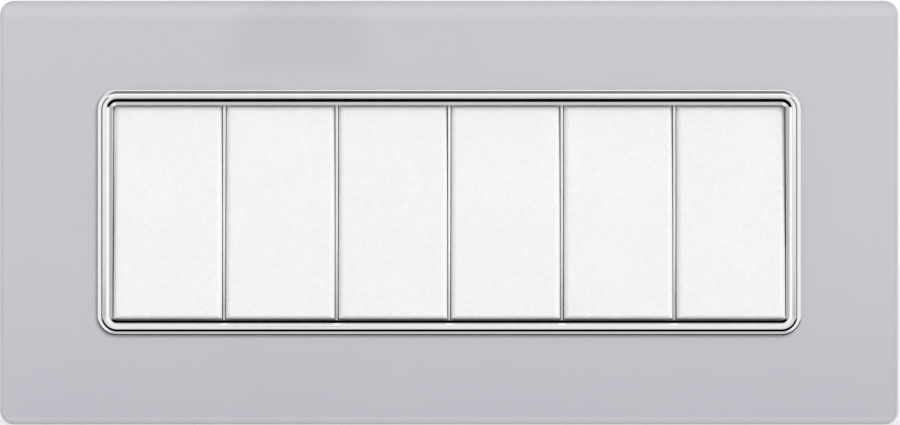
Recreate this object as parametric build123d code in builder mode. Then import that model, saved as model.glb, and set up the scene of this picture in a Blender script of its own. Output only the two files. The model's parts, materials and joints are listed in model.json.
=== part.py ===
from build123d import *
from math import cos, radians, sin, sqrt, tan
import os

# Six-gang rocker switch plate. X runs along the plate, Z is up and the room lies toward -Y.
# The wall is the plane Y = 0. Heights are measured from the wall into the room.
# All six rockers are modelled at off, with the top end pressed in.

# Modules
module_count = 6
module_pitch = 24.0
housing_gap = 0.04
rocker_gap = 0.7

# Sides of the small round forms inside each module, and of the cove across the bezel
round_sides = 12
cove_sides = 6

# Rocker
rocker_height = 45.14
rocker_rise = 0.9
rocker_edge = 1.2
rocker_end_edge = 0.3
rocker_lean = 3.0
rocker_draft = 3.0
pivot_depth = 5.0
skirt_depth = 2.2
face_wall = 1.4
skirt_wall = 1.1
pin_radius = 1.25
pin_clearance = 0.05
pin_length = 0.75
cheek_wall = 1.2
cheek_rim = 1.05
cheek_gap = 0.2
boss_wall = 1.1
boss_tail = 8.4

# Plunger and spring inside the rocker's boss
plunger_width = 3.8
plunger_length = 8.0
plunger_clearance = 0.1
spring_wire = 0.5
spring_turns = 4
spring_sides = 5
spring_seat_gap = 0.05

# Glass plate and the carrier behind it
glass_side = 20.7
glass_above = 19.0
glass_thickness = 4.0
plate_corner = 3.0
glass_arris = 0.35
cover_depth = 6.0
carrier_setback = 0.8
carrier_rim = 1.8
carrier_plate = 1.6
locating_rib = 1.2
web_thickness = 1.0
web_count = 8
web_pitch = 20.0
web_side_spacing = 40.0
web_wall_gap = 0.4

# Bezel
bezel_width = 3.35
bezel_corner = 4.3
bezel_side_gap = 0.1
bezel_end_gap = 0.15
rim_width = 0.9
rim_rise = 0.85
rim_edge = 0.15
step_width = 0.35
crest_width = 0.75
crest_rise = 1.2
cove_rise = 0.78
lip_rise = 0.95
lip_edge = 0.15
lip_thickness = 0.6
bezel_leg = 1.0
bezel_leg_depth = 5.1
glass_cover = 1.3
bezel_fit = 0.1
tab_width = 8.0
tab_barb = 0.55
tab_thickness = 0.75
tab_spacing = 45.0

# Support frame
frame_thickness = 3.0
frame_above = 13.0
frame_corner = 4.0
frame_fit = 0.15
screw_offset = 10.0
screw_slot_length = 8.0
screw_slot_radius = 2.1
screw_recess_width = 11.6
screw_recess_height = 7.8
screw_recess_depth = 1.2
screw_land = 3.6
back_recess = 1.4
frame_wall = 2.0
hook_spacing = 90.0
hook_width = 6.0
hook_thickness = 1.3
hook_gap = 0.25
hook_barb = 0.9
hook_barb_height = 0.9

# Switch housing
housing_depth = 20.0
side_wall = 0.98
end_wall = 1.0
back_wall = 1.2
flange_step = 0.8
leg_gap = 0.7
rim_tip = 0.2
rim_clearance = 0.2
swing_clearance = 0.35
ear_length = 6.6
lug_width = 8.0
lug_length = 2.4
lug_reach = 0.85
lug_gap = 0.15

# Contacts and terminals
bridge_depth = 8.1
bridge_ratio = 2.0
bridge_width = 5.0
bridge_length = 20.0
bridge_thickness = 0.8
bridge_stand = 0.35
bead_radius = 0.8
cradle_clearance = 0.05
cradle_drop = 0.15
cradle_length = 3.2
contact_inset = 1.7
contact_width = 2.4
contact_length = 1.8
contact_rise = 0.6
contact_gap = 0.1
nose_gap = 0.15
strip_drop = 2.2
strip_width = 6.0
strip_thickness = 0.9
cage_width = 7.4
cage_length = 7.4
cage_end_gap = 0.6
cage_rib = 1.0
cage_rib_gap = 0.15
wire_width = 3.8
wire_height = 3.6
screw_radius = 1.75
screw_sides = 8
screw_clearance = 0.05
screw_lift = 3.8
screw_bite = 0.6
screw_proud = 1.3
screw_slot = 0.7
screw_slot_depth = 0.9
window_margin = 1.4

# Heights above the wall
glass_front = cover_depth + glass_thickness
rocker_face = glass_front + rocker_rise
pivot_height = rocker_face - pivot_depth
lip_front = glass_front + lip_rise
lip_back = lip_front - lip_thickness
rim_front = lip_back - rim_clearance
carrier_back = cover_depth - carrier_plate

# Row of modules and the rockers in it
row_width = module_count * module_pitch
module_centres = [(n - (module_count - 1) / 2) * module_pitch for n in range(module_count)]
housing_width = module_pitch - housing_gap
rocker_width = module_pitch - rocker_gap
end_radius = sqrt((rocker_height / 2) ** 2 + pivot_depth ** 2)
skirt_back = pivot_depth - skirt_depth
swing = end_radius * sin(radians(rocker_lean))
wall_top = pivot_height + skirt_back - swing - swing_clearance
ear_top = pivot_height + skirt_back - swing_clearance
cheek_reach = pin_radius + cheek_rim

# Openings round the row, from the rockers outward
lip_half_width = (row_width - rocker_gap) / 2 + bezel_side_gap
lip_half_height = sqrt(end_radius ** 2 - (lip_back - pivot_height) ** 2) + bezel_end_gap
bezel_half_width = lip_half_width + bezel_width
bezel_half_height = lip_half_height + bezel_width
leg_outer = glass_cover + bezel_fit
leg_inner = leg_outer + bezel_leg
plate_width = 2 * (bezel_half_width + glass_side)
plate_height = 2 * (bezel_half_height + glass_above)

# Housing body, flange and the frame that they sit in
flange_half = bezel_half_height - leg_inner - leg_gap
body_half = flange_half - flange_step
cavity_half_width = housing_width / 2 - side_wall
cavity_half_height = body_half - end_wall
back_inner = back_wall - housing_depth
frame_half_width = row_width / 2 + screw_offset + screw_recess_width / 2 + screw_land
frame_half_height = body_half + frame_fit + frame_above
screw_x = row_width / 2 + screw_offset

# Contact levels below the wall
bridge_height = -bridge_depth
bridge_lean = rocker_lean * bridge_ratio
strip_front = bridge_height - strip_drop
contact_z = bridge_length / 2 - contact_inset
plunger_reach = pivot_height - bridge_height - bridge_stand - bridge_thickness - nose_gap
contact_dip = (contact_z + contact_length / 2) * sin(radians(bridge_lean))
fixed_contact_rise = strip_drop - contact_dip - (contact_rise - bridge_stand) - contact_gap
cage_end = cavity_half_height - cage_end_gap
cage_z = cage_end - cage_length / 2
screw_height = back_inner + screw_lift


def leaning_plane(height, lean):
    """Plane facing the room at a height above the wall, with its normal leaning up by an angle."""
    angle = radians(lean)
    return Plane(origin=(0, -height, 0), x_dir=(1, 0, 0), z_dir=(0, -cos(angle), sin(angle)))


def leaning_side(height, lean):
    """Plane across the plate whose first coordinate is height and whose second runs up."""
    angle = radians(lean)
    return Plane(origin=(0, -height, 0), x_dir=(0, -cos(angle), sin(angle)), z_dir=(-1, 0, 0))


def leaning_floor(height, lean):
    """Plane along the plate whose first coordinate is X and whose second is height."""
    angle = radians(lean)
    return Plane(origin=(0, -height, 0), x_dir=(1, 0, 0), z_dir=(0, -sin(angle), -cos(angle)))


wall = leaning_plane(0, 0)
side = leaning_side(0, 0)
floor = leaning_floor(0, 0)
rocker_front = leaning_plane(pivot_height, rocker_lean)
rocker_side = leaning_side(pivot_height, rocker_lean)
rocker_floor = leaning_floor(pivot_height, rocker_lean)
bridge_front = leaning_plane(bridge_height, -bridge_lean)
bridge_side = leaning_side(bridge_height, -bridge_lean)

os.makedirs("parts", exist_ok=True)


def save(piece, name):
    piece.label = name
    export_step(piece, f"parts/{name}.step")


def save_row(piece, name):
    """One copy of a module's piece at each place in the row."""
    for number, x in enumerate(module_centres, start=1):
        save(piece.moved(Location((x, 0, 0))), f"{name}_{number}")


# Glass plate: arrissed front edge, opening hidden under the bezel
glass_opening_width = 2 * (bezel_half_width - glass_cover)
glass_opening_height = 2 * (bezel_half_height - glass_cover)
with BuildPart() as glass_plate:
    with BuildSketch(wall.offset(cover_depth)):
        RectangleRounded(plate_width, plate_height, plate_corner)
    extrude(amount=glass_thickness)
    chamfer(glass_plate.faces().sort_by(Axis.Y)[0].edges(), glass_arris)
    with BuildSketch(wall.offset(cover_depth)):
        RectangleRounded(glass_opening_width, glass_opening_height, bezel_corner - glass_cover)
    extrude(amount=glass_thickness, mode=Mode.SUBTRACT)
save(glass_plate.part, "glass_plate")


# Carrier frame: plate glued to the glass, rim down to the wall, rib round the opening, hooks and webs
carrier_width = plate_width - 2 * carrier_setback
carrier_height = plate_height - 2 * carrier_setback
carrier_corner = plate_corner - carrier_setback
rib_half_width = bezel_half_width + locating_rib
rib_half_height = bezel_half_height + locating_rib
hook_inner = frame_half_height + hook_gap
hook_tip = frame_thickness - 2 * hook_barb_height - hook_gap
frame_front_gap = frame_thickness + hook_gap
with BuildPart() as carrier_frame:
    with BuildSketch(wall):
        RectangleRounded(carrier_width, carrier_height, carrier_corner)
    extrude(amount=cover_depth)
    with BuildSketch(wall):
        Rectangle(carrier_width - 2 * carrier_rim, carrier_height - 2 * carrier_rim)
    extrude(amount=carrier_back, mode=Mode.SUBTRACT)
    with BuildSketch(wall.offset(frame_front_gap)):
        Rectangle(2 * rib_half_width, 2 * rib_half_height)
        Rectangle(2 * bezel_half_width, 2 * bezel_half_height, mode=Mode.SUBTRACT)
    extrude(amount=carrier_back - frame_front_gap)
    with BuildSketch(wall):
        RectangleRounded(glass_opening_width, glass_opening_height, bezel_corner - glass_cover)
    extrude(amount=cover_depth, mode=Mode.SUBTRACT)
    for hook_x in (-hook_spacing / 2, hook_spacing / 2):
        for up in (1, -1):
            with BuildSketch(side.offset(-hook_x)):
                with BuildLine():
                    Polyline(
                        (carrier_back, up * hook_inner),
                        (hook_tip + hook_barb_height, up * hook_inner),
                        (hook_tip + hook_barb_height, up * (hook_inner - hook_barb)),
                        (hook_tip, up * hook_inner),
                        (hook_tip, up * (hook_inner + hook_thickness)),
                        (carrier_back, up * (hook_inner + hook_thickness)),
                        close=True,
                    )
                make_face()
            extrude(amount=hook_width / 2, both=True)
    for number in range(web_count):
        for up in (1, -1):
            with BuildSketch(side.offset((number - (web_count - 1) / 2) * web_pitch)):
                with BuildLine():
                    Polyline(
                        (carrier_back, up * rib_half_height),
                        (frame_front_gap, up * rib_half_height),
                        (frame_front_gap, up * hook_inner),
                        (web_wall_gap, up * hook_inner),
                        (web_wall_gap, up * (carrier_height / 2 - carrier_rim)),
                        (carrier_back, up * (carrier_height / 2 - carrier_rim)),
                        close=True,
                    )
                make_face()
            extrude(amount=web_thickness / 2, both=True)
    with BuildSketch(wall.offset(frame_front_gap)):
        with GridLocations(rib_half_width + carrier_width / 2 - carrier_rim, web_side_spacing, 2, 2):
            Rectangle(carrier_width / 2 - carrier_rim - rib_half_width, web_thickness)
    extrude(amount=carrier_back - frame_front_gap)
save(carrier_frame.part, "carrier_frame")


# Chrome bezel: low rim, step up to a crest, and a cove down to the lip, in one section round the opening
step_end = rim_width + step_width
crest_end = step_end + crest_width
cove_end = bezel_width - lip_edge
bezel_foot = glass_front - bezel_leg_depth


def bezel_point(inward, rise):
    return (glass_front + rise, inward - bezel_half_height)


with BuildPart() as chrome_bezel:
    with BuildLine(wall.offset(glass_front)) as bezel_path:
        Polyline(
            (0, -bezel_half_height),
            (bezel_half_width, -bezel_half_height),
            (bezel_half_width, bezel_half_height),
            (-bezel_half_width, bezel_half_height),
            (-bezel_half_width, -bezel_half_height),
            (0, -bezel_half_height),
        )
        fillet(bezel_path.vertices().filter_by(lambda v: abs(v.X) > bezel_half_width / 2), bezel_corner)
    with BuildSketch(side):
        with BuildLine():
            Polyline(
                bezel_point(leg_outer, 0),
                bezel_point(0, 0),
                bezel_point(0, rim_rise - rim_edge),
                bezel_point(rim_edge, rim_rise),
                bezel_point(rim_width, rim_rise),
                bezel_point(step_end, crest_rise),
                bezel_point(crest_end, crest_rise),
            )
            cove = ThreePointArc(
                bezel_point(crest_end, crest_rise),
                bezel_point((crest_end + cove_end) / 2, cove_rise),
                bezel_point(cove_end, lip_rise),
                mode=Mode.PRIVATE,
            )
            Polyline(*[cove @ (n / cove_sides) for n in range(cove_sides + 1)])
            Polyline(
                bezel_point(cove_end, lip_rise),
                bezel_point(bezel_width, lip_rise - lip_edge),
                bezel_point(bezel_width, lip_rise - lip_thickness),
                bezel_point(leg_inner, lip_rise - lip_thickness),
                bezel_point(leg_inner, -bezel_leg_depth),
                bezel_point(leg_outer, -bezel_leg_depth),
                bezel_point(leg_outer, 0),
            )
        make_face()
    sweep(path=bezel_path.wire())
    for tab_x in (-tab_spacing, 0, tab_spacing):
        for up in (1, -1):
            tab_outer = up * (bezel_half_height - leg_outer)
            tab_inner = up * (bezel_half_height - leg_inner)
            with BuildSketch(side.offset(-tab_x)):
                with BuildLine():
                    Polyline(
                        (bezel_foot + bezel_leg, tab_outer),
                        (carrier_back - bezel_fit, tab_outer),
                        (carrier_back - bezel_fit, tab_outer + up * tab_barb),
                        (carrier_back - bezel_fit - tab_thickness, tab_outer),
                        (carrier_back - bezel_fit - tab_thickness, tab_inner),
                        (bezel_foot + bezel_leg, tab_inner),
                        close=True,
                    )
                make_face()
            extrude(amount=tab_width / 2, both=True)
save(chrome_bezel.part, "chrome_bezel")


# Support frame: open rectangle with a slot for a box screw in each arm
opening_half_width = row_width / 2 + frame_fit
opening_half_height = body_half + frame_fit
arm_width = frame_half_width - opening_half_width - 2 * frame_wall
rail_height = frame_half_height - opening_half_height - 2 * frame_wall - hook_barb
with BuildPart() as support_frame:
    with BuildSketch(wall):
        RectangleRounded(2 * frame_half_width, 2 * frame_half_height, frame_corner)
        Rectangle(2 * opening_half_width, 2 * opening_half_height, mode=Mode.SUBTRACT)
    extrude(amount=frame_thickness)
    with BuildSketch(wall):
        with Locations((0, opening_half_height + frame_wall + rail_height / 2)):
            Rectangle(2 * opening_half_width - 2 * frame_wall, rail_height)
        with Locations((0, -opening_half_height - frame_wall - rail_height / 2)):
            Rectangle(2 * opening_half_width - 2 * frame_wall, rail_height)
    extrude(amount=back_recess, mode=Mode.SUBTRACT)
    with BuildSketch(wall):
        with Locations((screw_x, 0), (-screw_x, 0)):
            SlotOverall(screw_slot_length, 2 * screw_slot_radius)
    extrude(amount=frame_thickness, mode=Mode.SUBTRACT)
    with BuildSketch(wall.offset(frame_thickness)):
        with Locations((screw_x, 0), (-screw_x, 0)):
            Rectangle(screw_recess_width, screw_recess_height)
    extrude(amount=-screw_recess_depth, mode=Mode.SUBTRACT)
    with BuildSketch(wall):
        with GridLocations(hook_spacing, 2 * frame_half_height - hook_barb, 2, 2):
            Rectangle(hook_width + 2 * hook_gap, hook_barb)
    extrude(amount=frame_thickness - hook_barb_height, mode=Mode.SUBTRACT)
save(support_frame.part, "support_frame")


# Switch housing: flanged body with bearing ears and a thin rim on each side between the rockers
housing_half = housing_width / 2
ear_half = ear_length / 2
ear_crest = ear_half - (ear_top - wall_top)
rim_root = rim_tip + (rim_front - wall_top) * tan(radians(rocker_draft))
rib_x = (cage_width + cage_rib) / 2 + cage_rib_gap
with BuildPart() as switch_housing:
    with BuildSketch(wall.offset(-housing_depth)):
        Rectangle(housing_width, 2 * body_half)
    extrude(amount=housing_depth + frame_thickness)
    chamfer(switch_housing.faces().sort_by(Axis.Y)[-1].edges(), back_wall / 2)
    with BuildSketch(wall.offset(frame_thickness)):
        Rectangle(housing_width, 2 * flange_half)
    extrude(amount=wall_top - frame_thickness)
    with BuildSketch(side):
        with BuildLine():
            Polyline(
                (wall_top, -ear_half),
                (ear_top, -ear_crest),
                (ear_top, ear_crest),
                (wall_top, ear_half),
                close=True,
            )
        make_face()
    extrude(amount=housing_half, both=True)
    with BuildSketch(wall.offset(back_inner)):
        Rectangle(2 * cavity_half_width, 2 * cavity_half_height)
    extrude(amount=rim_front - back_inner, mode=Mode.SUBTRACT)
    with BuildSketch(floor):
        for right in (1, -1):
            with BuildLine():
                Polyline(
                    (right * housing_half, wall_top - side_wall),
                    (right * housing_half, rim_front),
                    (right * (housing_half - rim_tip), rim_front),
                    (right * (housing_half - rim_root), wall_top),
                    (right * (housing_half - rim_root), wall_top - side_wall),
                    close=True,
                )
            make_face()
    extrude(amount=flange_half, both=True)
    with BuildSketch(side):
        with Locations((pivot_height, 0)):
            RegularPolygon(pin_radius + pin_clearance, round_sides, major_radius=False)
    extrude(amount=housing_half, both=True, mode=Mode.SUBTRACT)
    for up in (1, -1):
        with BuildSketch(side):
            with BuildLine():
                Polyline(
                    (-lug_gap, up * (body_half - end_wall / 2)),
                    (-lug_gap, up * (body_half + lug_reach)),
                    (-lug_gap - lug_length, up * body_half),
                    (-lug_gap - lug_length, up * (body_half - end_wall / 2)),
                    close=True,
                )
            make_face()
        extrude(amount=lug_width / 2, both=True)
    with BuildSketch(floor):
        with Locations((0, screw_height)):
            Rectangle(2 * (screw_radius + window_margin), 2 * (screw_radius + window_margin))
    extrude(amount=body_half, both=True, mode=Mode.SUBTRACT)
    with BuildSketch(wall.offset(-housing_depth)):
        with Locations((0, cage_z), (0, -cage_z)):
            Rectangle(wire_width, wire_height)
    extrude(amount=back_wall, mode=Mode.SUBTRACT)
    with BuildSketch(wall.offset(back_inner - back_wall / 2)):
        with GridLocations(2 * rib_x, 2 * cage_z, 2, 2):
            Rectangle(cage_rib, cage_length)
    extrude(amount=back_wall / 2 + screw_lift)
save_row(switch_housing.part, "switch_housing")


# Rocker: ends curved about its pivot, so that the gap to the bezel stays the same as it swings
def rocker_profile(radius, low, high):
    """Side view between two heights above the pivot, closed by an arc about the pivot at each end."""
    heights = (low, (low + high) / 2, high)
    with BuildSketch(rocker_side) as profile:
        with BuildLine():
            upper = ThreePointArc(*[(h, sqrt(radius ** 2 - h ** 2)) for h in heights])
            lower = ThreePointArc(*[(h, -sqrt(radius ** 2 - h ** 2)) for h in heights])
            Line(upper @ 1, lower @ 1)
            Line(upper @ 0, lower @ 0)
        make_face()
    return profile.sketch


outer_profile = rocker_profile(end_radius, skirt_back, pivot_depth)
inner_profile = rocker_profile(end_radius - skirt_wall, skirt_back, pivot_depth - face_wall)
toward_room = Axis((0, 0, 0), rocker_front.z_dir)
rocker_half = rocker_width / 2
draft_inset = skirt_depth * tan(radians(rocker_draft))
cheek_outer = cavity_half_width - cheek_gap
face_root = pivot_depth - face_wall / 2
bore_width = plunger_width + 2 * plunger_clearance
with BuildPart() as rocker:
    extrude(outer_profile, amount=rocker_half, both=True)
    with BuildSketch(rocker_floor):
        with BuildLine():
            Polyline(
                (-rocker_half, pivot_depth),
                (rocker_half, pivot_depth),
                (rocker_half - draft_inset, skirt_back),
                (draft_inset - rocker_half, skirt_back),
                close=True,
            )
        make_face()
    extrude(amount=end_radius, both=True, mode=Mode.INTERSECT)
    front_face = rocker.faces().sort_by(toward_room)[-1]
    chamfer(front_face.edges().filter_by(Axis.X), rocker_end_edge)
    front_face = rocker.faces().sort_by(toward_room)[-1]
    fillet(front_face.edges().filter_by(Axis.X, reverse=True), rocker_edge)
    extrude(inner_profile, amount=rocker_half - draft_inset - skirt_wall, both=True, mode=Mode.SUBTRACT)
    for right in (1, -1):
        with BuildSketch(rocker_side.offset(-right * (cheek_outer - cheek_wall))):
            with Locations(((face_root - cheek_reach) / 2, 0)):
                Rectangle(face_root + cheek_reach, 2 * cheek_reach)
        extrude(amount=-right * cheek_wall)
        with BuildSketch(rocker_side.offset(-right * cheek_outer)):
            RegularPolygon(pin_radius, round_sides)
        extrude(amount=-right * (cheek_gap + pin_length))
    with BuildSketch(rocker_front.offset(-boss_tail)):
        Rectangle(bore_width + 2 * boss_wall, bore_width + 2 * boss_wall)
    extrude(amount=boss_tail + face_root)
    with BuildSketch(rocker_front.offset(-boss_tail)):
        Rectangle(bore_width, bore_width)
    extrude(amount=boss_tail + skirt_back, mode=Mode.SUBTRACT)
save_row(rocker.part, "rocker")


# Plunger with a rounded nose, and its spring, carried in the rocker's boss
nose_radius = plunger_width / 2
with BuildPart() as contact_plunger:
    with BuildSketch(rocker_side):
        with Locations((nose_radius - plunger_reach, 0)):
            RegularPolygon(nose_radius, round_sides)
        with Locations(((plunger_length + nose_radius) / 2 - plunger_reach, 0)):
            Rectangle(plunger_length - nose_radius, plunger_width)
    extrude(amount=plunger_width / 2, both=True)
save_row(contact_plunger.part, "contact_plunger")

spring_foot = plunger_length - plunger_reach + spring_seat_gap + spring_wire / 2
spring_top = skirt_back - spring_seat_gap - spring_wire / 2
coil_radius = plunger_width / 2 - spring_wire
coil_steps = spring_turns * spring_sides


def coil_point(step):
    angle = radians(360 * step / spring_sides)
    height = spring_foot + (spring_top - spring_foot) * step / coil_steps
    return rocker_front.from_local_coords((coil_radius * cos(angle), coil_radius * sin(angle), height))


with BuildPart() as plunger_spring:
    with BuildLine() as coil:
        Polyline(*[coil_point(step) for step in range(coil_steps + 1)])
    with BuildSketch(Plane(origin=coil.wire() @ 0, z_dir=coil.wire() % 0)):
        Rectangle(spring_wire, spring_wire)
    sweep(path=coil.wire(), transition=Transition.RIGHT)
save_row(plunger_spring.part, "plunger_spring")


# Contact bridge: strip that seesaws on a half-round bead, with a contact bar at its upper end
with BuildPart() as contact_bridge:
    with BuildSketch(bridge_front.offset(bridge_stand)):
        Rectangle(bridge_width, bridge_length)
    extrude(amount=bridge_thickness)
    with BuildSketch(bridge_side):
        RegularPolygon(bead_radius, round_sides)
        with Locations((bridge_stand / 2, 0)):
            Rectangle(bridge_stand, 2 * bead_radius)
    extrude(amount=bridge_width / 2, both=True)
    with BuildSketch(bridge_front.offset(bridge_stand)):
        with Locations((0, contact_z)):
            Rectangle(contact_width, contact_length)
    extrude(amount=-contact_rise)
save_row(contact_bridge.part, "contact_bridge")


# Terminals: a cage with a wire hole and a tapped hole, and a strip that reaches under the bridge
def terminal_cage(up, strip_end):
    """Cage on the housing's back wall at its upper or lower end, with a flat strip to a place along Z."""
    with BuildPart() as cage:
        with BuildSketch(wall.offset(back_inner)):
            with Locations((0, up * cage_z)):
                Rectangle(cage_width, cage_length)
        extrude(amount=strip_front - back_inner)
        with BuildSketch(wall.offset(back_inner)):
            with Locations((0, up * cage_z)):
                Rectangle(wire_width, wire_height)
        extrude(amount=screw_lift + screw_radius, mode=Mode.SUBTRACT)
        with BuildSketch(Plane.XY.offset(up * cage_z)):
            with Locations((0, -screw_height)):
                RegularPolygon(screw_radius + screw_clearance, screw_sides)
        extrude(amount=up * cage_length / 2, mode=Mode.SUBTRACT)
        with BuildSketch(wall.offset(strip_front)):
            with Locations((0, (up * cage_z + strip_end) / 2)):
                Rectangle(strip_width, abs(up * cage_z - strip_end))
        extrude(amount=-strip_thickness)
    return cage.part


line_cage = terminal_cage(-1, cradle_length / 2)
load_cage = terminal_cage(1, contact_z - contact_length)

with BuildPart() as line_terminal:
    add(line_cage)
    with BuildSketch(side):
        with Locations((strip_front + (strip_drop - cradle_drop) / 2, 0)):
            Rectangle(strip_drop - cradle_drop, cradle_length)
        with Locations((bridge_height, 0)):
            RegularPolygon(
                bead_radius + cradle_clearance, round_sides, major_radius=False, mode=Mode.SUBTRACT)
    extrude(amount=bridge_width / 2, both=True)
save_row(line_terminal.part, "line_terminal")

with BuildPart() as load_terminal:
    add(load_cage)
    with BuildSketch(wall.offset(strip_front)):
        with Locations((0, contact_z)):
            Rectangle(contact_width, contact_length)
    extrude(amount=fixed_contact_rise)
save_row(load_terminal.part, "load_terminal")


# Terminal screws: slotted, clamping the wire from the end of each cage
with BuildPart() as upper_screw:
    with BuildSketch(Plane.XY.offset(cage_z + wire_height / 2 - screw_bite)):
        with Locations((0, -screw_height)):
            RegularPolygon(screw_radius, screw_sides)
    extrude(amount=cage_length / 2 - wire_height / 2 + screw_bite + screw_proud)
    with BuildSketch(Plane.XY.offset(cage_end + screw_proud)):
        with Locations((0, -screw_height)):
            Rectangle(2 * screw_radius, screw_slot)
    extrude(amount=-screw_slot_depth, mode=Mode.SUBTRACT)

with BuildPart() as terminal_screws:
    for module_x in module_centres:
        add(upper_screw.part.moved(Location((module_x, 0, 0))))
    mirror(about=Plane.XY)
save(terminal_screws.part, "terminal_screws")
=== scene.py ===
import json
from math import radians

import bpy
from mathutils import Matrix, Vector


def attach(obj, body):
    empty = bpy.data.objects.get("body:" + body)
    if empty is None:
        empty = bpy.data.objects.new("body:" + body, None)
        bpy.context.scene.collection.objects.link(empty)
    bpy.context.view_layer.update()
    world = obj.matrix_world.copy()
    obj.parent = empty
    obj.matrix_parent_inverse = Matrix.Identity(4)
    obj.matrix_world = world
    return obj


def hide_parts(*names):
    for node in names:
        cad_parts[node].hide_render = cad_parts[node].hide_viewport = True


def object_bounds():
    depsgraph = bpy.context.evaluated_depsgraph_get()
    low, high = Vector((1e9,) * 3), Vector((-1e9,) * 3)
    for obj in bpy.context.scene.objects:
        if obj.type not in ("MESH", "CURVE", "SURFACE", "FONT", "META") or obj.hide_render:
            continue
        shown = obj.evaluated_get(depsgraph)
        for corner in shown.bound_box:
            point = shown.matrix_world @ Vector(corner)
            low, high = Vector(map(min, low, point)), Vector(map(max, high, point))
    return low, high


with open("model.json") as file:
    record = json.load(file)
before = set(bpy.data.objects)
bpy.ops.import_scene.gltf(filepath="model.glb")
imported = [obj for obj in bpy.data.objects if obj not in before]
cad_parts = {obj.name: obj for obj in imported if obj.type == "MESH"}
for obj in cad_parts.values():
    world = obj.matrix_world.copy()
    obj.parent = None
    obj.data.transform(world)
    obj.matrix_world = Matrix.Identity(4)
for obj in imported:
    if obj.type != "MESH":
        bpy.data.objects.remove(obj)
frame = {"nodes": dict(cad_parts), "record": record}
cad_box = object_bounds()

# Six-gang switch plate. The room lies toward -Y, Z is up, and lengths are in millimetres.
MM = 0.001
WELD = 0.0005
EDGE_ANGLE = 25
SMOOTH_ANGLE = 35
MODULES = range(1, 7)
MODULE_PITCH = 24.0

# Glass, with its faces measured from the wall
GLASS_FRONT = 10.0
GLASS_BACK = 6.0
GLASS_HALF_WIDTH = 95.8
GLASS_HALF_HEIGHT = 45.186
GLASS_ARRIS = 0.35
GLASS_CORNER = 3.0

# Bezel, with its section measured inward from its outer edge and up from the face of the glass
BEZEL_HALF_WIDTH = 75.1
BEZEL_HALF_HEIGHT = 26.186
BEZEL_CORNER = 4.3
BEZEL_CORNER_STEPS = 28
BEZEL_WIDTH = 3.35
BEZEL_ROUNDING = 0.08
BEZEL_ROUNDING_STEPS = 3
RIM_WIDTH = 0.9
RIM_CHAMFER = 0.22
RIM_SIDE_RISE = 0.64
RIM_EDGE_RISE = 0.81
RIM_RISE = 0.85
STEP_WIDTH = 0.35
CREST_WIDTH = 0.75
CREST_RISE = 1.2
CREST_FALL = 0.013
GROOVE_PLACE = 2.6
GROOVE_RISE = 0.82
LIP_RISE = 0.98
LIP_UNDERSIDE = 0.35
LEG_PLACE = 1.4
LEG_THICKNESS = 1.0
LEG_DEPTH = 5.1

# Snap tabs behind the bezel, with their heights measured from the wall
TAB_PLACES = (-45.0, 0.0, 45.0)
TAB_WIDTH = 8.0
TAB_ROOT = 4.95
TAB_CATCH = 4.3
TAB_TIP = 3.55
TAB_BARB = 0.55

# Plunger springs, with their ends measured along the plunger from the rocker's pivot
PIVOT_HEIGHT = 5.9
ROCKER_LEAN = 3.0
SPRING_WIRE = 0.5
SPRING_WIRE_SIDES = 12
SPRING_COIL = 1.4
SPRING_FOOT = -4.4
SPRING_TOP = 2.5
SPRING_TURNS = 4
SPRING_STEPS = 32

# Terminal screws, with their ends measured from the middle of the plate
SCREW_DEPTH = 15.0
SCREW_RADIUS = 1.75
SCREW_STEPS = 32
SCREW_TIP = 18.186
SCREW_TIP_CHAMFER = 0.2
SCREW_HEAD = 21.986
SCREW_HEAD_CHAMFER = 0.15
SCREW_SLOT = 0.7
SCREW_SLOT_DEPTH = 0.9
THREAD_PITCH = 0.5
THREAD_DEPTH = 0.25
THREAD_CREST_START = 0.4 * THREAD_PITCH
THREAD_CREST_END = 0.6 * THREAD_PITCH

# Camera, with the width of its picture at the face of the glass
PICTURE_WIDTH = 191.94
CAMERA_X = 0.15
CAMERA_Z = 0.02
LENS = 200.0
SENSOR = 36.0

# Studio, which is in metres and watts
LAMP_SIZE = 3.6
KEY_PLACE = (3.0, -5.4, 3.15)
KEY_POWER = 270.0
BACK_PLACE = (-2.6, 5.6, 3.4)
BACK_POWER = 130.0
FLOOR_SIZE = 6.0
NEAREST_VIEW = 0.01
WHITE = (1.0, 1.0, 1.0, 1.0)


def at(x, y, z):
    return Vector((x, y, z)) * MM


def module_x(number):
    return (number - (len(MODULES) + 1) / 2) * MODULE_PITCH


def linear(*levels):
    """A colour given as the 0 to 255 levels of a screen."""
    shares = [level / 255 for level in levels]
    colour = [s / 12.92 if s <= 0.04045 else ((s + 0.055) / 1.055) ** 2.4 for s in shares]
    return (*colour, 1.0)


def grey(level):
    return linear(level, level, level)


class Level:
    """A number that changes over a surface, used in sums like any other number."""

    def __init__(self, finish, socket):
        self.finish = finish
        self.socket = socket

    def _math(self, operation, first, second):
        return self.finish.node("Math", {"operation": operation}, {0: first, 1: second})

    def __add__(self, other):
        return self._math("ADD", self, other)

    def __sub__(self, other):
        return self._math("SUBTRACT", self, other)

    def __rsub__(self, other):
        return self._math("SUBTRACT", other, self)

    def __mul__(self, other):
        return self._math("MULTIPLY", self, other)

    def __truediv__(self, other):
        return self._math("DIVIDE", self, other)

    def __lt__(self, other):
        return self._math("LESS_THAN", self, other)

    def __gt__(self, other):
        return self._math("GREATER_THAN", self, other)

    def __abs__(self):
        return self._math("ABSOLUTE", self, 0.0)

    def root(self):
        return self._math("SQRT", self, 0.0)

    def most(self, other):
        return self._math("MAXIMUM", self, other)

    __radd__ = __add__
    __rmul__ = __mul__


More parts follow.
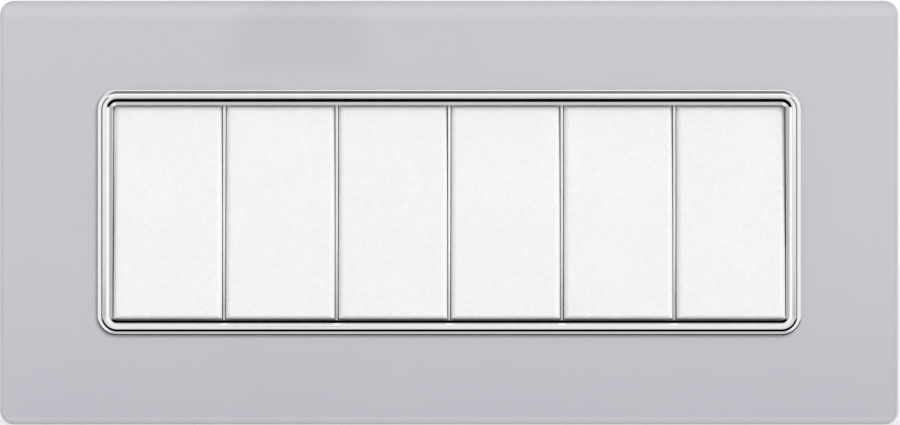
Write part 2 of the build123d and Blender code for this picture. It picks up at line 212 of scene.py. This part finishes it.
class Finish:
    """The nodes of a material or of the world."""

    def __init__(self, owner):
        owner.use_nodes = True
        self.owner = owner
        self.tree = owner.node_tree
        kinds = ("BSDF_PRINCIPLED", "BACKGROUND")
        self.shader = next(node for node in self.tree.nodes if node.type in kinds)

    def node(self, kind, settings=None, sockets=None, out=0):
        made = self.tree.nodes.new("ShaderNode" + kind)
        for name, value in (settings or {}).items():
            if name == "stops":
                self._stops(made.color_ramp.elements, value)
            else:
                setattr(made, name, value)
        for name, value in (sockets or {}).items():
            self.plug(made.inputs[name], value)
        return Level(self, made.outputs[out])

    def plug(self, socket, value):
        if isinstance(value, Level):
            self.tree.links.new(value.socket, socket)
        else:
            socket.default_value = value

    def _stops(self, elements, stops):
        while len(elements) < len(stops):
            elements.new(1.0)
        for element, (place, shade) in zip(elements, stops):
            element.position = place
            element.color = (shade, shade, shade, 1.0)

    def set(self, **sockets):
        for name, value in sockets.items():
            self.plug(self.shader.inputs[name.replace("_", " ")], value)
        return self

    def place(self):
        """X, Y and Z on the piece in millimetres."""
        spot = self.node("TexCoord", out="Object")
        return [self.node("SeparateXYZ", sockets={0: spot}, out=axis) * (1 / MM) for axis in "XYZ"]

    def grain(self, size, detail=2.0, stretch=(1.0, 1.0, 1.0)):
        """Noise with grains of about this size in millimetres, from 0 to 1."""
        spot = self.node("TexCoord", out="Object")
        scale = tuple(1 / MM / size / times for times in stretch)
        spot = self.node("VectorMath", {"operation": "MULTIPLY"}, {0: spot, 1: scale})
        return self.node("TexNoise", sockets={"Vector": spot, "Scale": 1.0, "Detail": detail}, out="Fac")

    def fade(self, value, low, high):
        """0 below low, 1 above high, and a smooth rise between them."""
        settings = {"interpolation_type": "SMOOTHSTEP"}
        return self.node("MapRange", settings, {"Value": value, "From Min": low, "From Max": high})

    def band(self, value, start, full, ease, end):
        """1 between full and ease, with a smooth rise from start and a smooth fall to end."""
        return self.fade(value, start, full) * (1 - self.fade(value, ease, end))

    def blend(self, share, first, second):
        return self.node("Mix", {"data_type": "RGBA"}, {0: share, 6: first, 7: second}, out=2)

    def bump(self, height, depth):
        """Relief of this many millimetres from a height between 0 and 1."""
        sockets = {"Strength": 1.0, "Distance": depth * MM, "Height": height}
        self.plug(self.shader.inputs["Normal"], self.node("Bump", sockets=sockets))
        return self


def new_finish(name):
    return Finish(bpy.data.materials.new(name))


def paint_glass():
    """Clear glass with pale grey paint behind it, painted light along the upper and lower margins, painted
    shade along the edge, and a polished arris painted darker on top and lighter elsewhere to offset light
    and shade.
    """
    finish = new_finish("painted_glass")
    x, y, z = finish.place()
    inset_x = GLASS_HALF_WIDTH - abs(x)
    inset_z = GLASS_HALF_HEIGHT - abs(z)
    past_x = (GLASS_CORNER - inset_x).most(0.0)
    past_z = (GLASS_CORNER - inset_z).most(0.0)
    inset = GLASS_CORNER - (past_x * past_x + past_z * past_z).root()

    cloud = finish.grain(60.0)
    speck = finish.grain(0.5)
    paint = finish.blend(cloud * 0.7 + speck * 0.3, linear(191, 192, 199), linear(199, 200, 206))
    # Painted light: paler bands along the upper and lower margins of the glass, wider at the top.
    upper = finish.band(inset_z, 0.6, 2.0, 2.3, 4.2) * (z > 0)
    lower = finish.band(inset_z, 0.6, 1.0, 1.3, 1.8) * (z < 0)
    paint = finish.blend(upper.most(lower) * 0.8, paint, linear(204, 204, 210))
    # Painted shade: a darker line all round the edge of the glass.
    edge_shade = 1 - finish.fade(inset, 0.3, 1.2)
    paint = finish.blend(edge_shade * 0.7, paint, linear(187, 188, 194))

    arris = 1 - finish.fade(inset, GLASS_ARRIS - 0.1, GLASS_ARRIS + 0.1)
    # Painted light and shade: the arris is painted darker on top and lighter on the sides and bottom, to
    # offset the light from above and the shade elsewhere.
    on_top = (inset_z < inset_x) * (z > 0)
    arris_lighting_offset = finish.blend(on_top, linear(212, 213, 218), linear(186, 187, 193))
    paint = finish.blend(arris, paint, arris_lighting_offset)
    depth = finish.fade(y, GLASS_ARRIS - GLASS_FRONT, -GLASS_BACK - 0.4)
    edge = finish.blend(depth, linear(176, 190, 190), linear(150, 168, 168))
    side = (inset < 0.05) * (y < -GLASS_BACK - 0.15)
    paint = finish.blend(side, paint, edge)
    finish.set(Base_Color=paint, Roughness=0.35, Specular_IOR_Level=0.0)
    finish.set(Coat_Weight=1.0, Coat_Roughness=0.015, Coat_IOR=1.5)
    return finish.owner


def polish_chrome():
    """Plated plastic, mirror bright, with the slow waviness and faint haze of the moulding under it."""
    finish = new_finish("bezel_chrome")
    haze = finish.grain(3.0, 3.0)
    scuff = finish.fade(finish.grain(0.25, 2.0), 0.62, 0.75)
    finish.set(Base_Color=finish.blend(haze, (0.93, 0.93, 0.935, 1), (0.97, 0.97, 0.975, 1)))
    finish.set(Metallic=1.0, Roughness=0.035 + haze * 0.03 + scuff * 0.05)
    finish.bump(finish.grain(7.0, 1.0), 0.006)
    return finish.owner


def mould_plastic(name, dark, pale, grain_size, relief, roughness):
    """Moulded plastic with a matt grain of one size and a slow change of shade."""
    finish = new_finish(name)
    cloud = finish.grain(14.0)
    fine = finish.grain(grain_size, 3.0)
    coarse = finish.grain(grain_size * 3.2, 2.0)
    shade = cloud * 0.2 + fine * 0.45 + coarse * 0.35
    finish.set(Base_Color=finish.blend(finish.fade(shade, 0.25, 0.75), dark, pale))
    finish.set(Roughness=roughness + (fine - 0.5) * 0.2, IOR=1.49)
    finish.bump(fine * 0.6 + coarse * 0.4, relief)
    return finish.owner


def draw_metal(name, dark, pale, roughness, stretch):
    """Bare metal with drawing lines along one way."""
    finish = new_finish(name)
    lines = finish.grain(0.12, 3.0, stretch)
    tarnish = finish.grain(2.5, 4.0)
    shade = finish.fade(lines * 0.5 + tarnish * 0.5, 0.3, 0.7)
    finish.set(Base_Color=finish.blend(shade, dark, pale), Metallic=1.0)
    finish.set(Roughness=roughness + (1 - shade) * 0.15)
    finish.bump(lines, 0.006)
    return finish.owner


# Dark and pale shade, size of grain, depth of relief and roughness
PLASTICS = {
    "rocker_plastic": (grey(237), grey(247), 0.35, 0.012, 0.5),
    "housing_plastic": (grey(242), grey(250), 0.5, 0.01, 0.45),
    "carrier_plastic": (linear(181, 181, 186), linear(195, 195, 200), 0.7, 0.02, 0.5),
    "frame_plastic": (linear(74, 76, 80), linear(96, 98, 103), 0.6, 0.025, 0.55),
    "plunger_plastic": (linear(224, 216, 196), linear(235, 229, 212), 0.6, 0.008, 0.35),
}
# Dark and pale shade, roughness, and how far the drawing lines run along X, Y and Z
METALS = {
    "spring_steel": ((0.42, 0.42, 0.44, 1), (0.62, 0.62, 0.64, 1), 0.25, (1, 1, 1)),
    "contact_brass": ((0.58, 0.4, 0.16, 1), (0.8, 0.6, 0.27, 1), 0.28, (1, 1, 12)),
    "screw_steel": ((0.5, 0.5, 0.5, 1), (0.7, 0.7, 0.69, 1), 0.3, (6, 1, 1)),
}
FINISHES = {"painted_glass": paint_glass(), "bezel_chrome": polish_chrome()}
FINISHES.update({name: mould_plastic(name, *looks) for name, looks in PLASTICS.items()})
FINISHES.update({name: draw_metal(name, *looks) for name, looks in METALS.items()})

for part in frame["record"]["subparts"]:
    node = frame["nodes"][part["node"]]
    node.data.materials.clear()
    node.data.materials.append(FINISHES[part["material_slot"]])


def begin(place):
    """Edit mode on a new mesh that holds one selected vertex."""
    bpy.ops.object.select_all(action="DESELECT")
    bpy.ops.mesh.primitive_plane_add(size=MM, location=place)
    bpy.ops.object.transform_apply()
    bpy.ops.object.mode_set(mode="EDIT")
    bpy.ops.mesh.merge(type="CENTER")


def draw(*points):
    """Runs edges on from the selected vertex; the first point is where it is now."""
    for start, end in zip(points, points[1:]):
        bpy.ops.mesh.extrude_vertices_move(TRANSFORM_OT_translate={"value": end - start})


def pull(way):
    """Extrudes what is selected."""
    bpy.ops.mesh.extrude_region_move(TRANSFORM_OT_translate={"value": way})


def weld():
    """Selects everything and merges what lies in one place."""
    bpy.ops.mesh.select_all(action="SELECT")
    bpy.ops.mesh.remove_doubles(threshold=WELD * MM)


def close_up():
    """Welds the mesh and turns all its faces outward, then leaves edit mode."""
    weld()
    bpy.ops.mesh.normals_make_consistent(inside=False)
    bpy.ops.object.mode_set(mode="OBJECT")
    return bpy.context.object


def only(piece):
    """Makes this the one selected piece."""
    bpy.ops.object.select_all(action="DESELECT")
    piece.select_set(True)
    bpy.context.view_layer.objects.active = piece


def round_edges(piece, width, steps):
    only(piece)
    rounding = piece.modifiers.new("rounding", "BEVEL")
    rounding.width = width * MM
    rounding.segments = steps
    rounding.limit_method = "ANGLE"
    rounding.angle_limit = radians(EDGE_ANGLE)
    bpy.ops.object.modifier_apply(modifier=rounding.name)


def join(first, *others):
    only(first)
    for other in others:
        other.select_set(True)
    bpy.ops.object.join()
    return first


def copy_by(piece, way):
    """A copy with a mesh of its own, moved over by a distance."""
    only(piece)
    bpy.ops.object.duplicate(linked=False)
    bpy.ops.transform.translate(value=way)
    bpy.ops.object.transform_apply()
    return bpy.context.object


def one_each(first):
    """The first module's piece, and a copy of it for each of the others."""
    ways = [at((number - 1) * MODULE_PITCH, 0, 0) for number in MODULES[1:]]
    return [first] + [copy_by(first, way) for way in ways]


def enlarge(piece, times):
    piece.scale = (times, times, times)
    bpy.ops.object.transform_apply(location=False, rotation=False, scale=True)


def keep_flats(piece):
    """Smooth shading that leaves wide faces flat, done at a large size because tiny faces get no weight."""
    only(piece)
    bpy.ops.object.shade_smooth_by_angle(angle=radians(SMOOTH_ANGLE))
    enlarge(piece, 1 / MM)
    weights = piece.modifiers.new("weights", "WEIGHTED_NORMAL")
    weights.keep_sharp = True
    bpy.ops.object.modifier_apply(modifier=weights.name)
    enlarge(piece, MM)


def finish_piece(piece, name, slot, body, node):
    """Shades and names a piece, which rides on a body and stands for a node."""
    keep_flats(piece)
    piece.name = name
    piece.data.name = name
    piece.data.materials.clear()
    piece.data.materials.append(FINISHES[slot])
    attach(piece, body)
    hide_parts(node)


def bezel_ring():
    """One section run round the opening: rim, step, crest, groove and lip, with the leg behind."""
    straight_x = BEZEL_HALF_WIDTH - BEZEL_CORNER
    straight_z = BEZEL_HALF_HEIGHT - BEZEL_CORNER
    crest_start = RIM_WIDTH + STEP_WIDTH
    crest_end = crest_start + CREST_WIDTH
    leg_end = LEG_PLACE + LEG_THICKNESS
    rim = [(0, 0), (0, RIM_SIDE_RISE), (RIM_CHAMFER, RIM_EDGE_RISE), (RIM_WIDTH, RIM_RISE)]
    crest = [(crest_start, CREST_RISE), (crest_end, CREST_RISE - CREST_FALL)]
    lip = [(GROOVE_PLACE, GROOVE_RISE), (BEZEL_WIDTH, LIP_RISE), (BEZEL_WIDTH, LIP_UNDERSIDE)]
    leg = [(leg_end, LIP_UNDERSIDE), (leg_end, -LEG_DEPTH), (LEG_PLACE, -LEG_DEPTH), (LEG_PLACE, 0)]
    outline = rim + crest + lip + leg
    section = [at(-straight_x, -GLASS_FRONT - rise, BEZEL_HALF_HEIGHT - inward) for inward, rise in outline]
    begin(section[0])
    draw(*section, section[0])
    weld()
    corners = ((1, 1, (1, 0, 0)), (1, -1, (0, 0, -1)), (-1, -1, (-1, 0, 0)), (-1, 1, (0, 0, 1)))
    for right, up, way in corners:
        pull(at(*way) * 2 * (straight_x if way[0] else straight_z))
        centre = at(right * straight_x, 0, up * straight_z)
        bpy.ops.mesh.spin(steps=BEZEL_CORNER_STEPS, angle=radians(-90), center=centre, axis=(0, 1, 0))
    return close_up()


def bezel_tab(x, up):
    """Snap tab with a barb on its outer side, behind the bezel's leg."""
    outer = BEZEL_HALF_HEIGHT - LEG_PLACE
    inner = outer - LEG_THICKNESS
    barb = [(TAB_CATCH, outer), (TAB_CATCH, outer + TAB_BARB), (TAB_TIP, outer)]
    outline = [(TAB_ROOT, outer), *barb, (TAB_TIP, inner), (TAB_ROOT, inner)]
    points = [at(x - TAB_WIDTH / 2, -height, up * z) for height, z in outline]
    begin(points[0])
    draw(*points)
    bpy.ops.mesh.select_all(action="SELECT")
    bpy.ops.mesh.edge_face_add()
    pull(at(TAB_WIDTH, 0, 0))
    return close_up()


def coil_spring(x):
    """Round wire wound about the line that the plunger slides on."""
    start = at(SPRING_COIL, 0, SPRING_FOOT)
    upright = (radians(90), 0, 0)
    bpy.ops.object.select_all(action="DESELECT")
    bpy.ops.mesh.primitive_circle_add(
        vertices=SPRING_WIRE_SIDES, radius=SPRING_WIRE / 2 * MM, location=start, rotation=upright)
    bpy.ops.object.transform_apply()
    spring = bpy.context.object
    winding = spring.modifiers.new("winding", "SCREW")
    winding.angle = radians(360)
    winding.screw_offset = (SPRING_TOP - SPRING_FOOT) / SPRING_TURNS * MM
    winding.iterations = SPRING_TURNS
    winding.steps = SPRING_STEPS
    winding.render_steps = SPRING_STEPS
    bpy.ops.object.modifier_apply(modifier=winding.name)
    bpy.ops.object.mode_set(mode="EDIT")
    bpy.ops.mesh.select_all(action="SELECT")
    bpy.ops.mesh.fill_holes(sides=0)
    close_up()
    spring.rotation_euler.x = radians(90 - ROCKER_LEAN)
    spring.location = at(x, -PIVOT_HEIGHT, 0)
    bpy.ops.object.transform_apply()
    return spring


def screw_outline():
    """Radius and height along a grub screw, from its tip over each turn of the thread to its head."""
    root = SCREW_RADIUS - THREAD_DEPTH
    thread_start = SCREW_TIP + SCREW_TIP_CHAMFER
    turns = int((SCREW_HEAD - SCREW_TIP_CHAMFER - thread_start) / THREAD_PITCH)
    outline = [(0, SCREW_TIP), (root - SCREW_TIP_CHAMFER, SCREW_TIP), (root, thread_start)]
    for turn in range(turns):
        start = thread_start + turn * THREAD_PITCH
        outline.append((SCREW_RADIUS, start + THREAD_CREST_START))
        outline.append((SCREW_RADIUS, start + THREAD_CREST_END))
        outline.append((root, start + THREAD_PITCH))
    outline.append((root, SCREW_HEAD - SCREW_HEAD_CHAMFER))
    outline.append((root - SCREW_HEAD_CHAMFER, SCREW_HEAD))
    outline.append((0, SCREW_HEAD))
    return outline


def slotted_screw(x):
    """Threaded grub screw in the upper terminal of a module, with its slot facing up."""
    points = [at(x + radius, SCREW_DEPTH, height) for radius, height in screw_outline()]
    begin(points[0])
    draw(*points)
    bpy.ops.mesh.select_all(action="SELECT")
    axle = at(x, SCREW_DEPTH, 0)
    bpy.ops.mesh.spin(steps=SCREW_STEPS, angle=radians(360), center=axle, axis=(0, 0, 1))
    screw = close_up()
    bpy.ops.object.select_all(action="DESELECT")
    bpy.ops.mesh.primitive_cube_add(size=1.0, location=at(x, SCREW_DEPTH, SCREW_HEAD))
    cutter = bpy.context.object
    cutter.scale = at(3 * SCREW_RADIUS, SCREW_SLOT, 2 * SCREW_SLOT_DEPTH)
    bpy.ops.object.transform_apply()
    only(screw)
    slot = screw.modifiers.new("slot", "BOOLEAN")
    slot.operation = "DIFFERENCE"
    slot.object = cutter
    bpy.ops.object.modifier_apply(modifier=slot.name)
    bpy.data.objects.remove(cutter)
    return screw


# Chrome bezel
ring = bezel_ring()
round_edges(ring, BEZEL_ROUNDING, BEZEL_ROUNDING_STEPS)
tabs = [bezel_tab(x, up) for x in TAB_PLACES for up in (1, -1)]
bezel = join(ring, *tabs)
finish_piece(bezel, "bezel_ring", "bezel_chrome", "plate", "chrome_bezel")

# Plunger springs
springs = one_each(coil_spring(module_x(1)))
for number, spring in zip(MODULES, springs):
    rocker = f"rocker_{number}"
    finish_piece(spring, f"coil_spring_{number}", "spring_steel", rocker, f"plunger_spring_{number}")

# Terminal screws, the lower row being the upper one turned over
upper_screws = join(*one_each(slotted_screw(module_x(1))))
lower_screws = copy_by(upper_screws, at(0, 0, 0))
bpy.ops.transform.rotate(value=radians(180), orient_axis="Y", center_override=(0, 0, 0))
bpy.ops.object.transform_apply()
slotted_screws = join(upper_screws, lower_screws)
finish_piece(slotted_screws, "slotted_screws", "screw_steel", "plate", "terminal_screws")


def mirrored_room(air, x, front, z):
    """How bright the room is, by direction from the part, where polished surfaces mirror it."""
    around = air.fade(front, 0.68, 0.8)
    above = air.fade(front, 0.94, 0.98) * air.fade(z, -0.05, 0.05)
    middle = 1 - air.fade(abs(x), 0.09, 0.17)
    room = (1 - around * (0.1 + middle * 0.3)) * (1 - above * middle * 0.65)

    # Straight ahead, which the flat glass mirrors: darker below, with a leaning dark strip
    ahead = air.fade(front, 0.99, 0.994)
    strip = air.fade(x - abs(z) * 0.32, -0.058, -0.05)
    strip = strip * (1 - air.fade(x + abs(z) * 0.19, -0.014, -0.007))
    strip = strip * air.fade(abs(z), 0.026, 0.031)
    opposite = air.fade(z, -0.045, -0.005) * 0.8 + air.fade(z, 0.0, 0.03) * 0.2
    room = room * (1 - ahead) + opposite * (1 - strip) * ahead

    # Below and to the sides, which the slopes of the bezel mirror
    ground = air.fade(z, -0.32, -0.14)
    far_left = (1 - air.fade(abs(front), 0.3, 0.55)) * air.fade(0 - x, 0.45, 0.75)
    far_right = (1 - air.fade(abs(front), 0.1, 0.25)) * air.fade(x, 0.45, 0.75)
    flank = air.band(abs(x), 0.3, 0.38, 0.56, 0.66) * air.fade(front, 0.75, 0.82)
    return room * ground * (1 - far_left.most(far_right) * 0.85) * (1 - flank * 0.45)


def add_lamp(name, place, power):
    """Soft square light that faces the part."""
    bpy.ops.object.light_add(type="AREA", location=place)
    lamp = bpy.context.object
    lamp.name = name
    lamp.rotation_euler = (-lamp.location).to_track_quat("-Z", "Y").to_euler()
    lamp.data.size = LAMP_SIZE
    lamp.data.energy = power
    return lamp


def light_studio():
    """Soft light from the upper right and from behind, in a pale room that polished surfaces mirror."""
    scene = bpy.context.scene
    scene.view_settings.view_transform = "Standard"
    scene.world = bpy.data.worlds.new("studio")
    air = Finish(scene.world)
    way = air.node("TexCoord", out="Generated")
    x, y, z = [air.node("SeparateXYZ", sockets={0: way}, out=axis) for axis in "XYZ"]
    ambient = air.node("ValToRGB", {"stops": [(0.0, 0.3), (1.0, 0.57)]}, {0: (z + 1) / 2})
    kinds = ("Camera", "Glossy", "Transmission")
    seen, mirrored, through = [air.node("LightPath", out=f"Is {kind} Ray") for kind in kinds]
    colour = air.blend(mirrored, ambient, mirrored_room(air, x, 0 - y, z))
    colour = air.blend(seen.most(through), colour, WHITE)
    air.set(Color=colour, Strength=1.0)
    key_light = add_lamp("key_light", KEY_PLACE, KEY_POWER)
    key_light.visible_glossy = False
    add_lamp("back_light", BACK_PLACE, BACK_POWER)


def lay_floor():
    """Pale floor under the plate, which keeps its shadow and looks nearly white."""
    bpy.ops.object.select_all(action="DESELECT")
    bpy.ops.mesh.primitive_plane_add(size=FLOOR_SIZE, location=(0, 0, cad_box[0][2]))
    floor = bpy.context.object
    floor.name = "floor"
    floor.visible_glossy = False
    paint = new_finish("floor_paint")
    paint.set(Base_Color=paint.blend(paint.grain(40.0), grey(238), grey(243)), Roughness=0.8)
    plain = Level(paint, paint.shader.outputs[0])
    glow = paint.node("Emission", sockets={"Color": WHITE, "Strength": 1.0})
    share = paint.node("LightPath", out="Is Camera Ray") * 0.6
    surface = paint.node("MixShader", sockets={0: share, 1: plain, 2: glow})
    paint.plug(paint.tree.nodes["Material Output"].inputs["Surface"], surface)
    floor.data.materials.append(paint.owner)


def place_camera():
    """Straight in front, so far off that the picture takes in its width at the face of the glass."""
    lens = bpy.data.cameras.new("camera")
    lens.lens = LENS
    lens.sensor_width = SENSOR
    lens.clip_start = NEAREST_VIEW
    camera = bpy.data.objects.new("camera", lens)
    camera.location = at(CAMERA_X, -GLASS_FRONT - PICTURE_WIDTH * LENS / SENSOR, CAMERA_Z)
    camera.rotation_euler = (radians(90), 0, 0)
    bpy.context.scene.collection.objects.link(camera)
    bpy.context.scene.camera = camera


light_studio()
lay_floor()
place_camera()
